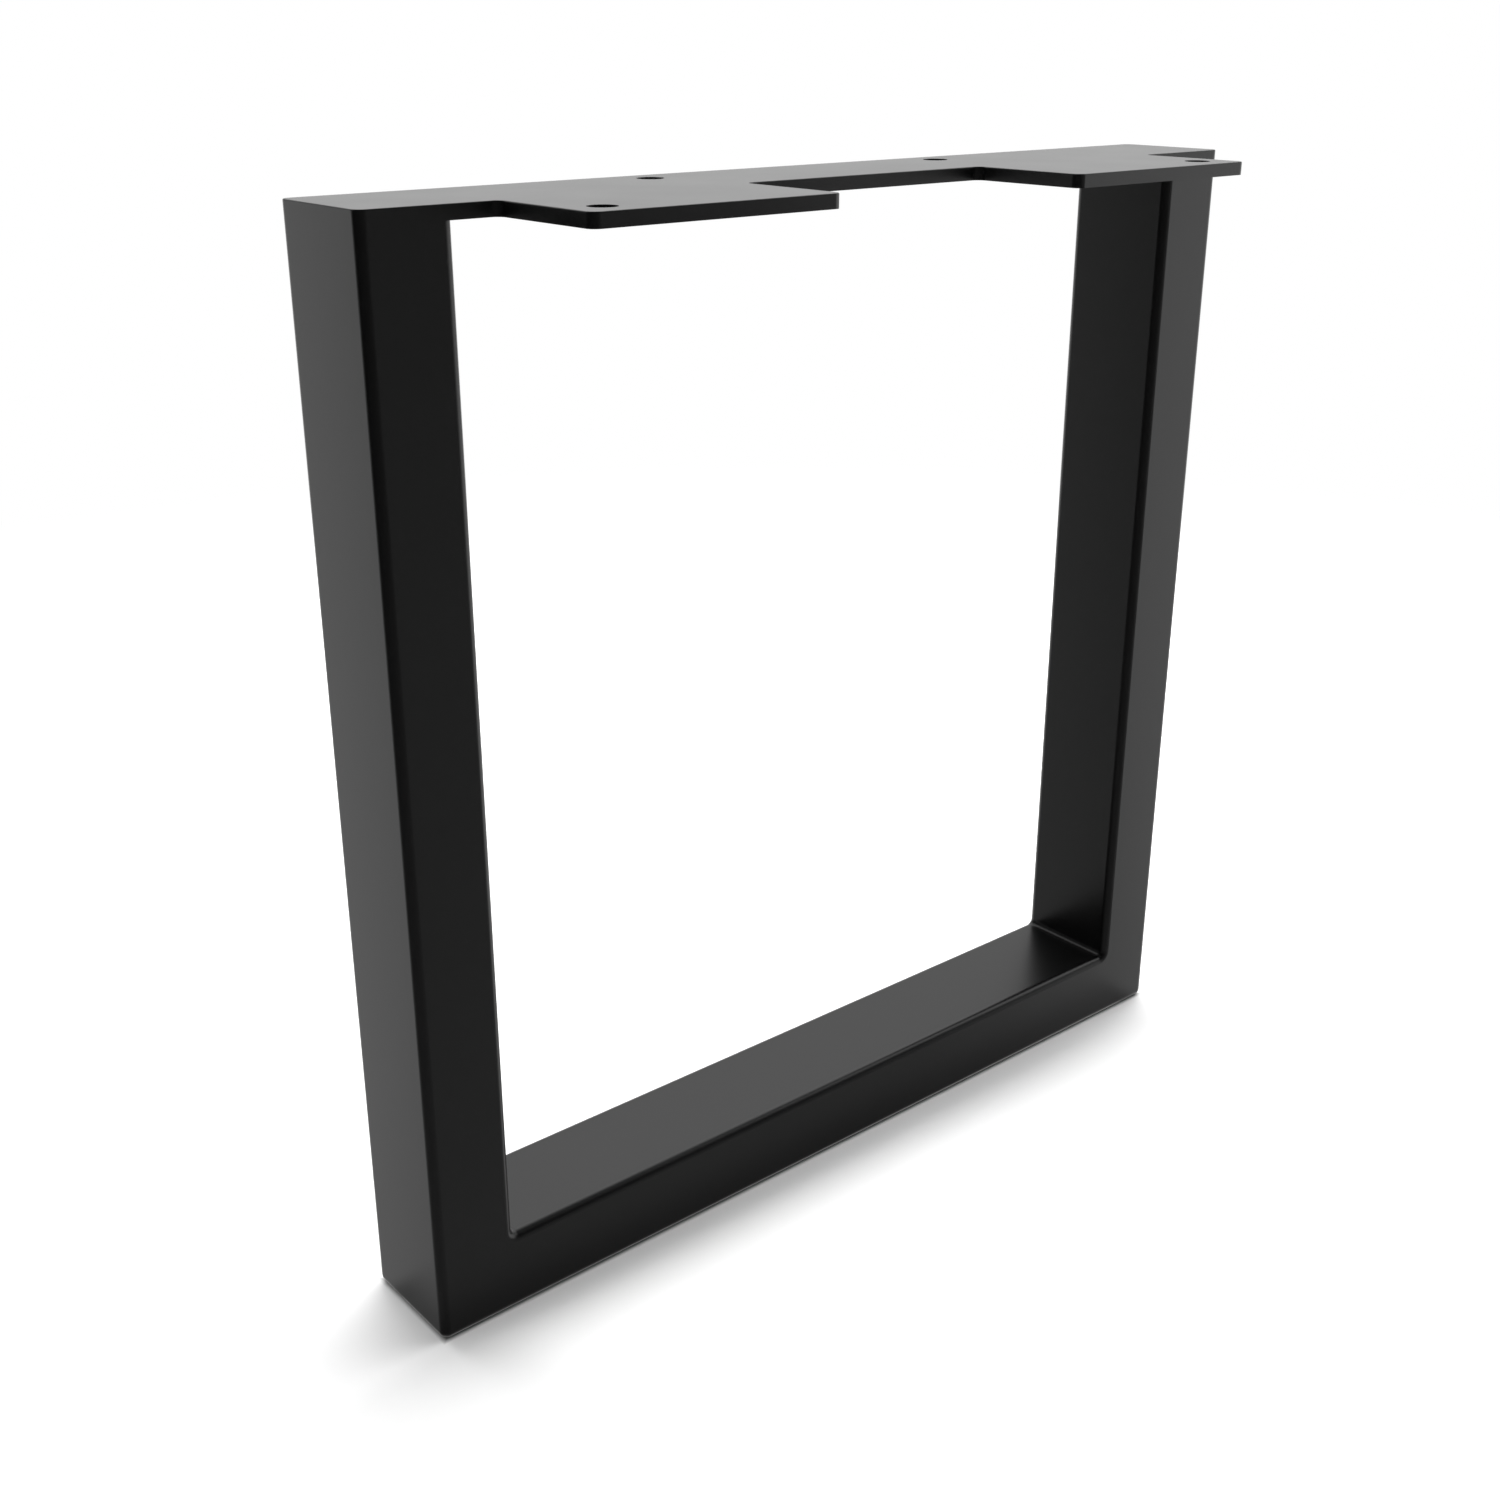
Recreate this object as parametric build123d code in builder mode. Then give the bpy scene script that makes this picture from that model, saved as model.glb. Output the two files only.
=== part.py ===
from build123d import *
import os

# A welded steel U-frame leg for a bench or a low table, in millimetres.
# Two upright tubes and a floor rail of the same tube meet in mitred corners, and a flat plate with
# two bolting tabs closes the tops of the uprights. +Z is up, X runs along the frame, and the tabs
# reach out towards -Y. The origin is on the floor, half way along the frame, below the tubes' front.

# Frame
frame_length = 500.0
frame_height = 500.0

# Rectangular tube
tube_width = 40.0
tube_depth = 60.0
tube_wall = 2.0

# Dressed weld in each inner corner of the U
weld_radius = 3.0

# Mounting plate
plate_thickness = 6.0
plate_edge_break = 0.5
tab_width = 120.0
tab_depth = 60.0
tab_inset = 60.0
tab_corner_radius = 4.0
hole_diameter = 12.0
hole_inset = 16.0

# Cold-formed tube bends round its corners at twice its wall, so the inside bend is one wall
tube_radius = 2 * tube_wall
inner_radius = tube_radius - tube_wall
inner_width = tube_width - 2 * tube_wall
inner_depth = tube_depth - 2 * tube_wall

# Places that the pieces share
half_length = frame_length / 2
leg_top = frame_height - plate_thickness
leg_axis = half_length - tube_width / 2
inner_face = half_length - tube_width
rail_axis = tube_width / 2
mid_depth = tube_depth / 2
tab_axis = half_length - tab_inset - tab_width / 2

# Each mitre runs from the outer corner on the floor to the corner inside the U.
# Its plane faces up, towards the leg, and the rail lies below it.
left_mitre = Plane(origin=(-half_length, 0, 0), x_dir=(0, 1, 0), z_dir=(-1, 0, 1))
right_mitre = Plane(origin=(half_length, 0, 0), x_dir=(0, 1, 0), z_dir=(1, 0, 1))
left_inner_plane = Plane(origin=(-inner_face, 0, 0), x_dir=(0, 1, 0), z_dir=(-1, 0, 0))
right_inner_plane = Plane(origin=(inner_face, 0, 0), x_dir=(0, 1, 0), z_dir=(1, 0, 0))
rail_top_plane = Plane.XY.offset(tube_width)

os.makedirs("parts", exist_ok=True)

# The welded and dressed U as one form: tube corners carried round the outer mitres, welds hollowed
# into the inner corners, and the tops of the legs cut square
with BuildPart() as dressed_frame:
    with BuildSketch(Plane.XZ.offset(-tube_depth)):
        with Locations((0, leg_top / 2)):
            Rectangle(frame_length, leg_top)
        with Locations((0, (leg_top + tube_width) / 2)):
            Rectangle(2 * inner_face, leg_top - tube_width, mode=Mode.SUBTRACT)
    extrude(amount=tube_depth)
    across = dressed_frame.edges().filter_by(Axis.Y)
    inner_corners = across.group_by(Axis.Z)[1]
    fillet(inner_corners, weld_radius)
    front_edges = dressed_frame.faces().sort_by(Axis.Y)[0].edges()
    back_edges = dressed_frame.faces().sort_by(Axis.Y)[-1].edges()
    top_edges = dressed_frame.edges().group_by(Axis.Z)[-1]
    floor_corners = dressed_frame.edges().filter_by(Axis.Y).group_by(Axis.Z)[0]
    rounded = [edge for edge in front_edges + back_edges + floor_corners if edge not in top_edges]
    fillet(rounded, tube_radius)


def leg(axis_x, inner_plane, mitre):
    """One upright: its side of the dressed U down to the mitre, bored out to the tube's wall."""
    with BuildPart() as upright:
        add(dressed_frame.part)
        split(bisect_by=inner_plane, keep=Keep.TOP)
        split(bisect_by=mitre, keep=Keep.TOP)
        with BuildSketch(Plane.XY):
            with Locations((axis_x, mid_depth)):
                RectangleRounded(inner_width, inner_depth, inner_radius)
        extrude(amount=leg_top, mode=Mode.SUBTRACT)
    return upright


def corner_weld(side):
    """The dressed weld in one inner corner, from the leg's inner face to the rail's top."""
    with BuildPart() as bead:
        add(dressed_frame.part)
        split(bisect_by=left_inner_plane, keep=Keep.BOTTOM)
        split(bisect_by=right_inner_plane, keep=Keep.BOTTOM)
        split(bisect_by=rail_top_plane, keep=Keep.TOP)
        split(bisect_by=Plane.YZ, keep=side)
    return bead


left_leg = leg(-leg_axis, left_inner_plane, left_mitre)
left_leg.part.label = "left_leg"
export_step(left_leg.part, "parts/left_leg.step")

right_leg = leg(leg_axis, right_inner_plane, right_mitre)
right_leg.part.label = "right_leg"
export_step(right_leg.part, "parts/right_leg.step")

# Floor rail, mitred at both ends and bored along X
with BuildPart() as bottom_rail:
    add(dressed_frame.part)
    split(bisect_by=rail_top_plane, keep=Keep.BOTTOM)
    split(bisect_by=left_mitre, keep=Keep.BOTTOM)
    split(bisect_by=right_mitre, keep=Keep.BOTTOM)
    with BuildSketch(Plane.YZ):
        with Locations((mid_depth, rail_axis)):
            RectangleRounded(inner_depth, inner_width, inner_radius)
    extrude(amount=half_length, both=True, mode=Mode.SUBTRACT)

bottom_rail.part.label = "bottom_rail"
export_step(bottom_rail.part, "parts/bottom_rail.step")

left_corner_weld = corner_weld(Keep.BOTTOM)
left_corner_weld.part.label = "left_corner_weld"
export_step(left_corner_weld.part, "parts/left_corner_weld.step")

right_corner_weld = corner_weld(Keep.TOP)
right_corner_weld.part.label = "right_corner_weld"
export_step(right_corner_weld.part, "parts/right_corner_weld.step")

# Mounting plate: a strip as deep as the tube, flush with the legs all round, with two square tabs
# in front. Each tab has a bolt hole in its outer front corner and one behind its inner side.
with BuildPart() as mounting_plate:
    with BuildSketch(Plane.XY.offset(leg_top)) as plate_outline:
        with Locations((0, mid_depth)):
            Rectangle(frame_length, tube_depth)
        with Locations((-tab_axis, -tab_depth / 2), (tab_axis, -tab_depth / 2)):
            Rectangle(tab_width, tab_depth)
        ends = plate_outline.vertices().group_by(Axis.X)
        fillet(ends[0] + ends[-1], tube_radius)
        tab_sides = plate_outline.edges().filter_by(Axis.Y).sort_by(Axis.X)[1:-1]
        fillet(tab_sides.vertices(), tab_corner_radius)
    extrude(amount=plate_thickness)
    top_outline = mounting_plate.faces().sort_by(Axis.Z)[-1].outer_wire()
    fillet(top_outline.edges(), plate_edge_break)
    front_hole = (tab_axis + tab_width / 2 - hole_inset, -tab_depth + hole_inset)
    back_hole = (tab_axis - tab_width / 2 + hole_inset, tube_depth - hole_inset)
    for hole_x, hole_y in (front_hole, back_hole):
        with Locations((-hole_x, hole_y, frame_height), (hole_x, hole_y, frame_height)):
            Hole(hole_diameter / 2)

mounting_plate.part.label = "mounting_plate"
export_step(mounting_plate.part, "parts/mounting_plate.step")
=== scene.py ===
import math

import bpy
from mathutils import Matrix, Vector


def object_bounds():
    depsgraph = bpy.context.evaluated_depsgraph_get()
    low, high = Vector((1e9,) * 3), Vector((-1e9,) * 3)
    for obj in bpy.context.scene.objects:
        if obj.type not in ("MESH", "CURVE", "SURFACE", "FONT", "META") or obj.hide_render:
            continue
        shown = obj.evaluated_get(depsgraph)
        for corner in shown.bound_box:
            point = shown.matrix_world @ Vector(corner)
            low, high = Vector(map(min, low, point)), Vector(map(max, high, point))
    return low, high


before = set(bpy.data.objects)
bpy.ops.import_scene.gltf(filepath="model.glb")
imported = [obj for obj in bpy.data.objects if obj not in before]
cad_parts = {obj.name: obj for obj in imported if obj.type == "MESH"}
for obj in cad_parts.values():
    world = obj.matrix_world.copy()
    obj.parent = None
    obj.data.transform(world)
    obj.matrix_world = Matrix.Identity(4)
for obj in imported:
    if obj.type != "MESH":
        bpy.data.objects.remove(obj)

# A black powder-coated steel U-frame leg in a white studio. Everything is in metres.
CAD_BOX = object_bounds()
WHITE = (1.0, 1.0, 1.0, 1.0)

# Camera, as the photograph was taken: its place, the way it looks and its lens
CAMERA_PLACE = (-0.57116, -0.60155, 0.56281)
CAMERA_HEADING = math.radians(39.94)
CAMERA_DIP = math.radians(21.99)
CAMERA_LENS_MM = 43.435
CAMERA_SENSOR_MM = 36.0

# Room: its brightness by the sine of the height above the horizon, and the strength that stands for white
# in its colour ramp, above every tone
ROOM_LIGHT = 2.2
ROOM_TONES = (
    (-1.0, 0.4), (-0.8, 0.6), (-0.55, 1.3), (-0.4, 1.3), (-0.15, 1.15), (0.1, 1.3),
    (0.4, 0.55), (0.5, 0.85), (0.65, 2.1), (0.9, 0.4), (1.0, 0.2),
)

# Floor: its size and tone
FLOOR_REACH = 30.0
FLOOR_TONE = 0.975

# Painted shade: a dark line in the floor's colour where the frame stands on it, in place of a contact shadow.
# Its tone, how far inside the frame's outline it starts, under the tube's rounded edge, and how far out from
# there it reaches
CONTACT_SHADE_TONE = 0.12
CONTACT_SHADE_INSET = 0.003
CONTACT_SHADE_REACH = 0.004

# Distances from the object between which the camera sees the floor turn into the white of the backdrop
FLOOR_NEAR = 0.8
FLOOR_FAR = 1.6

# Shells round the object: turns are degrees from +Y towards +X, rises are degrees above the horizon
SHELL_CENTRE_HEIGHT = 0.25
SHELL_COLUMNS = 30
SHELL_ROWS = 26

# Unlit side of the studio, round the camera: its right and left edges and its tones, by rise, and the
# share of the room's light that it lets through, from its right edge to its left one and by rise
DARK_RADIUS = 4.0
DARK_RISES = (-60.0, 70.0)
DARK_RIGHT = ((-60, 108), (-30, 124), (-15, 129), (-5, 136), (5, 132), (45, 125), (55, 106), (70, 93))
DARK_LEFT = ((-60, 338), (-15, 335), (70, 334))
DARK_TONES = ((-60, 0.37), (-40, 0.18), (-25, 0.085), (-10, 0.0), (70, 0.0))
DARK_GAPS = (
    (0.0, 0.6), (0.015, 0.0), (0.06, 0.1), (0.12, 0.3), (0.2, 0.1),
    (0.87, 0.0), (0.91, 0.85), (0.95, 0.0), (0.97, 0.65), (1.0, 1.0),
)
DARK_OPEN = ((-60, 0.4), (0, 1.0), (10, 0.4), (25, 0.02), (70, 0.4))

# Light on the floor, which the paint doesn't mirror: its edges as turns, and its tones from the first edge
# to the last. Most of it comes from the back and the right.
LIGHT_RADIUS = 3.5
LIGHT_RISES = (12.0, 70.0)
LIGHT_EDGES = (200, 508)
LIGHT_STRENGTH = 3.9
LIGHT_TONES = (
    (0.0, 0.05), (0.25, 0.25), (0.38, 0.12), (0.53, 0.8), (0.7, 0.85), (0.8, 1.0), (0.9, 0.35), (1.0, 0.1),
)

# Shade that the paint mirrors where the frame stands on the floor. Its core runs from the frame's left end
# to a little short of the right one, and back from the tubes' front, y = 0. Then come its reach to the front,
# with what is left of the light there, and its reach to the sides and the back against that to the front.
SHADE_HEIGHT = 0.0002
SHADE_SHORT = 0.018
SHADE_DEPTH = 0.040
SHADE_STEPS = ((0.0, 0.45), (0.008, 0.50), (0.016, 0.60), (0.023, 0.80), (0.030, 0.95), (0.036, 1.0))
SHADE_SIDE = 0.6
SHADE_BACK = 0.5

# Powder coat: its colours, its roughness, and its noises, each with a scale per metre and a detail
COAT_DARK = (0.0021, 0.0021, 0.0022, 1.0)
COAT_LIGHT = (0.0031, 0.0031, 0.0032, 1.0)
COAT_ROUGHNESS = (0.28, 0.32)
COAT_IOR = 1.5
COAT_CLOUD = (22.0, 3.0)
COAT_GRAIN = (1400.0, 2.0)
COAT_GRAIN_DEPTH = 0.000003
COAT_PEEL = (160.0, 1.0)
COAT_PEEL_DEPTH = 0.000008


def link_mesh(name, points, faces):
    """A new mesh object in the scene, made of the given points and faces."""
    mesh = bpy.data.meshes.new(name)
    mesh.from_pydata(points, [], faces)
    mesh.update()
    made = bpy.data.objects.new(name, mesh)
    bpy.context.scene.collection.objects.link(made)
    return made


def empty_material(name):
    """A material with nothing but its output, and its nodes."""
    material = bpy.data.materials.new(name)
    material.use_nodes = True
    tree = material.node_tree
    tree.nodes.remove(tree.nodes["Principled BSDF"])
    return material, tree


def show(tree, shader):
    """Sends a shader to the material's output."""
    tree.links.new(shader, tree.nodes["Material Output"].inputs["Surface"])


def reckon(tree, operation, first, second=None):
    """One step of arithmetic on a socket, with another socket, a number or nothing."""
    node = tree.nodes.new("ShaderNodeMath")
    node.operation = operation
    tree.links.new(first, node.inputs[0])
    if isinstance(second, float):
        node.inputs[1].default_value = second
    elif second is not None:
        tree.links.new(second, node.inputs[1])
    return node.outputs["Value"]


def blend(tree, share, first, second):
    """A shader that turns from the first into the second as the share grows from 0 to 1."""
    mix = tree.nodes.new("ShaderNodeMixShader")
    tree.links.new(share, mix.inputs["Fac"])
    tree.links.new(first, mix.inputs[1])
    tree.links.new(second, mix.inputs[2])
    return mix.outputs["Shader"]


def clear(tree):
    """A shader that lets everything through."""
    return tree.nodes.new("ShaderNodeBsdfTransparent").outputs["BSDF"]


def camera_ray(tree):
    """1 where the camera looks straight at the surface, and 0 for light and mirror images."""
    return tree.nodes.new("ShaderNodeLightPath").outputs["Is Camera Ray"]


def split(tree, coordinate):
    """The three parts of a texture coordinate."""
    parts = tree.nodes.new("ShaderNodeSeparateXYZ")
    tree.links.new(tree.nodes.new("ShaderNodeTexCoord").outputs[coordinate], parts.inputs["Vector"])
    return parts.outputs


def tone_ramp(tree, value, tones):
    """A grey that follows the value through the given (place, tone) steps."""
    ramp = tree.nodes.new("ShaderNodeValToRGB")
    steps = ramp.color_ramp.elements
    while len(steps) < len(tones):
        steps.new(1.0)
    for step, (place, tone) in zip(steps, tones):
        step.position = place
        step.color = (tone, tone, tone, 1.0)
    tree.links.new(value, ramp.inputs["Fac"])
    return ramp.outputs["Color"]


def noise(tree, place, scale, detail):
    """A noise texture in the object's own metres."""
    texture = tree.nodes.new("ShaderNodeTexNoise")
    texture.inputs["Scale"].default_value = scale
    texture.inputs["Detail"].default_value = detail
    tree.links.new(place, texture.inputs["Vector"])
    return texture.outputs["Fac"]


def bump(tree, height, depth, under=None):
    """A bump of the given depth in metres, laid over the normal beneath it."""
    node = tree.nodes.new("ShaderNodeBump")
    node.inputs["Strength"].default_value = 1.0
    node.inputs["Distance"].default_value = depth
    tree.links.new(height, node.inputs["Height"])
    if under is not None:
        tree.links.new(under, node.inputs["Normal"])
    return node.outputs["Normal"]


def powder_coat():
    """Satin black powder coat: a fine grain over a faint orange peel, with cloudy gloss."""
    material = bpy.data.materials.new("powder_coat_black")
    material.use_nodes = True
    tree = material.node_tree
    shader = tree.nodes["Principled BSDF"]
    shader.inputs["IOR"].default_value = COAT_IOR
    place = tree.nodes.new("ShaderNodeTexCoord").outputs["Object"]
    cloud = noise(tree, place, *COAT_CLOUD)

    tint = tree.nodes.new("ShaderNodeValToRGB")
    tint.color_ramp.elements[0].color = COAT_DARK
    tint.color_ramp.elements[1].color = COAT_LIGHT
    tree.links.new(cloud, tint.inputs["Fac"])
    tree.links.new(tint.outputs["Color"], shader.inputs["Base Color"])

    gloss = tree.nodes.new("ShaderNodeMapRange")
    gloss.inputs["To Min"].default_value = COAT_ROUGHNESS[0]
    gloss.inputs["To Max"].default_value = COAT_ROUGHNESS[1]
    tree.links.new(cloud, gloss.inputs["Value"])
    tree.links.new(gloss.outputs["Result"], shader.inputs["Roughness"])

    peel = bump(tree, noise(tree, place, *COAT_PEEL), COAT_PEEL_DEPTH)
    grain = bump(tree, noise(tree, place, *COAT_GRAIN), COAT_GRAIN_DEPTH, peel)
    tree.links.new(grain, shader.inputs["Normal"])
    return material


def beyond(tree, value, middle, half):
    """How far a coordinate lies outside the span that reaches half to either side of the middle."""
    offset = reckon(tree, "ABSOLUTE", reckon(tree, "SUBTRACT", value, middle))
    return reckon(tree, "SUBTRACT", offset, half)


def painted_contact_shade(tree):
    """The floor's tone, darker in a thin line of painted shade round the frame, which stands from y = 0 to
    the box's back.
    """
    place = split(tree, "Object")
    (x0, _, _), (x1, y1, _) = CAD_BOX
    across = beyond(tree, place["X"], (x0 + x1) / 2, (x1 - x0) / 2 - CONTACT_SHADE_INSET)
    ahead = beyond(tree, place["Y"], y1 / 2, y1 / 2 - CONTACT_SHADE_INSET)
    near = tree.nodes.new("ShaderNodeMapRange")
    near.inputs["From Max"].default_value = CONTACT_SHADE_REACH
    tree.links.new(reckon(tree, "MAXIMUM", across, ahead), near.inputs["Value"])
    return tone_ramp(tree, near.outputs["Result"], ((0.0, CONTACT_SHADE_TONE), (1.0, FLOOR_TONE)))


def white_floor():
    """Matt white that takes the object's shadow; farther off, the camera sees the white of the backdrop."""
    material, tree = empty_material("white_floor")
    matt = tree.nodes.new("ShaderNodeBsdfDiffuse")
    # The floor's colour holds painted shade: the dark contact line round the frame's foot.
    tree.links.new(painted_contact_shade(tree), matt.inputs["Color"])
    glow = tree.nodes.new("ShaderNodeEmission")
    glow.inputs["Color"].default_value = WHITE
    distance = tree.nodes.new("ShaderNodeVectorMath")
    distance.operation = "LENGTH"
    tree.links.new(tree.nodes.new("ShaderNodeTexCoord").outputs["Object"], distance.inputs[0])
    far = tree.nodes.new("ShaderNodeMapRange")
    far.interpolation_type = "SMOOTHSTEP"
    far.inputs["From Min"].default_value = FLOOR_NEAR
    far.inputs["From Max"].default_value = FLOOR_FAR
    tree.links.new(distance.outputs["Value"], far.inputs["Value"])
    seen = reckon(tree, "MULTIPLY", far.outputs["Result"], camera_ray(tree))
    show(tree, blend(tree, seen, matt.outputs["BSDF"], glow.outputs["Emission"]))
    return material


def white_room():
    """Soft light from all round, and a large white floor that takes the object's shadow."""
    world = bpy.data.worlds.new("white_room")
    world.use_nodes = True
    tree = world.node_tree
    light = tree.nodes["Background"]
    light.inputs["Strength"].default_value = ROOM_LIGHT
    height = tree.nodes.new("ShaderNodeMapRange")
    height.inputs["From Min"].default_value = -1.0
    tree.links.new(split(tree, "Generated")["Z"], height.inputs["Value"])
    tones = [((rise + 1) / 2, tone / ROOM_LIGHT) for rise, tone in ROOM_TONES]
    tree.links.new(tone_ramp(tree, height.outputs["Result"], tones), light.inputs["Color"])
    backdrop = tree.nodes.new("ShaderNodeBackground")
    backdrop.inputs["Color"].default_value = WHITE
    seen = blend(tree, camera_ray(tree), light.outputs["Background"], backdrop.outputs["Background"])
    tree.links.new(seen, tree.nodes["World Output"].inputs["Surface"])
    bpy.context.scene.world = world

    r = FLOOR_REACH
    floor = link_mesh("floor", [(-r, -r, 0), (r, -r, 0), (r, r, 0), (-r, r, 0)], [(0, 1, 2, 3)])
    floor.data.materials.append(white_floor())
    floor.visible_glossy = False


def along(steps, place):
    """The height of the line through the given (place, height) steps."""
    for (near, low), (far, high) in zip(steps, steps[1:]):
        if place <= far:
            return low + (high - low) * (place - near) / (far - near)
    return steps[-1][1]


def shell(name, radius, rises, first, last):
    """A piece of a sphere round the object; its UV runs from the first edge to the last, and upwards."""
    points = []
    places = []
    for row in range(SHELL_ROWS + 1):
        rise = rises[0] + (rises[1] - rises[0]) * row / SHELL_ROWS
        out = radius * math.cos(math.radians(rise))
        z = SHELL_CENTRE_HEIGHT + radius * math.sin(math.radians(rise))
        start, end = along(first, rise), along(last, rise)
        for column in range(SHELL_COLUMNS + 1):
            turn = math.radians(start + (end - start) * column / SHELL_COLUMNS)
            points.append((out * math.sin(turn), out * math.cos(turn), z))
            places.append((column / SHELL_COLUMNS, row / SHELL_ROWS))
    wide = SHELL_COLUMNS + 1
    corners = [row * wide + column for row in range(SHELL_ROWS) for column in range(SHELL_COLUMNS)]
    made = link_mesh(name, points, [(n, n + wide, n + wide + 1, n + 1) for n in corners])
    layer = made.data.uv_layers.new(name="place")
    for loop in made.data.loops:
        layer.data[loop.index].uv = places[loop.vertex_index]
    made.visible_camera = False
    return made


def dark_side():
    """The unlit side of the studio behind the camera, which the paint mirrors. It is too dim to be a lamp."""
    material, tree = empty_material("unlit_studio")
    material.cycles.emission_sampling = "NONE"
    place = split(tree, "UV")
    low, high = DARK_RISES
    tones = [((rise - low) / (high - low), tone) for rise, tone in DARK_TONES]
    opening = [((rise - low) / (high - low), share) for rise, share in DARK_OPEN]
    glow = tree.nodes.new("ShaderNodeEmission")
    tree.links.new(tone_ramp(tree, place["Y"], tones), glow.inputs["Color"])
    gaps = tone_ramp(tree, place["X"], DARK_GAPS)
    through = reckon(tree, "MULTIPLY", gaps, tone_ramp(tree, place["Y"], opening))
    show(tree, blend(tree, through, glow.outputs["Emission"], clear(tree)))
    shell("unlit_side", DARK_RADIUS, DARK_RISES, DARK_RIGHT, DARK_LEFT).data.materials.append(material)


def floor_light():
    """Light that makes the floor white and casts the shadow. It adds to what lies behind it."""
    material, tree = empty_material("floor_light")
    glow = tree.nodes.new("ShaderNodeEmission")
    glow.inputs["Strength"].default_value = LIGHT_STRENGTH
    tree.links.new(tone_ramp(tree, split(tree, "UV")["X"], LIGHT_TONES), glow.inputs["Color"])
    both = tree.nodes.new("ShaderNodeAddShader")
    tree.links.new(clear(tree), both.inputs[0])
    tree.links.new(glow.outputs["Emission"], both.inputs[1])
    show(tree, both.outputs["Shader"])
    first, last = ([(rise, turn) for rise in LIGHT_RISES] for turn in LIGHT_EDGES)
    light = shell("floor_light", LIGHT_RADIUS, LIGHT_RISES, first, last)
    light.data.materials.append(material)
    light.visible_glossy = False


def foot_shade():
    """The contact shadow as the paint mirrors it: rings round the frame's foot, clearer outwards."""
    (x0, _, _), (x1, _, _) = CAD_BOX
    points = []
    for reach, _ in SHADE_STEPS:
        left, right = x0 - reach * SHADE_SIDE, x1 - SHADE_SHORT + reach * SHADE_SIDE
        front, back = -reach, SHADE_DEPTH + reach * SHADE_BACK
        corners = ((left, front), (right, front), (right, back), (left, back))
        points += [(x, y, SHADE_HEIGHT) for x, y in corners]
    faces = []
    for ring in range(len(SHADE_STEPS) - 1):
        for corner in range(4):
            n, m = 4 * ring + corner, 4 * ring + (corner + 1) % 4
            faces.append((n, n + 4, m + 4, m))
    shade = link_mesh("foot_shade", points, faces)
    rest = shade.data.attributes.new("light_left", "FLOAT", "POINT")
    for n, point in enumerate(rest.data):
        point.value = SHADE_STEPS[n // 4][1]

    material, tree = empty_material("foot_shade")
    source = tree.nodes.new("ShaderNodeAttribute")
    source.attribute_name = "light_left"
    filtered = tree.nodes.new("ShaderNodeBsdfTransparent")
    tree.links.new(source.outputs["Fac"], filtered.inputs["Color"])
    show(tree, filtered.outputs["BSDF"])
    shade.data.materials.append(material)
    shade.visible_camera = False
    shade.visible_diffuse = False
    shade.visible_shadow = False


def photo_camera():
    """The camera at the photograph's place."""
    data = bpy.data.cameras.new("photo_camera")
    data.sensor_width = CAMERA_SENSOR_MM
    data.lens = CAMERA_LENS_MM
    camera = bpy.data.objects.new("photo_camera", data)
    camera.location = CAMERA_PLACE
    camera.rotation_euler = (math.pi / 2 - CAMERA_DIP, 0.0, -CAMERA_HEADING)
    bpy.context.scene.collection.objects.link(camera)
    bpy.context.scene.camera = camera


def paint_nodes(material):
    """Every steel piece takes the same paint."""
    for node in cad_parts.values():
        node.data.materials.clear()
        node.data.materials.append(material)


paint_nodes(powder_coat())
white_room()
dark_side()
floor_light()
foot_shade()
photo_camera()
bpy.context.scene.view_settings.view_transform = "Standard"
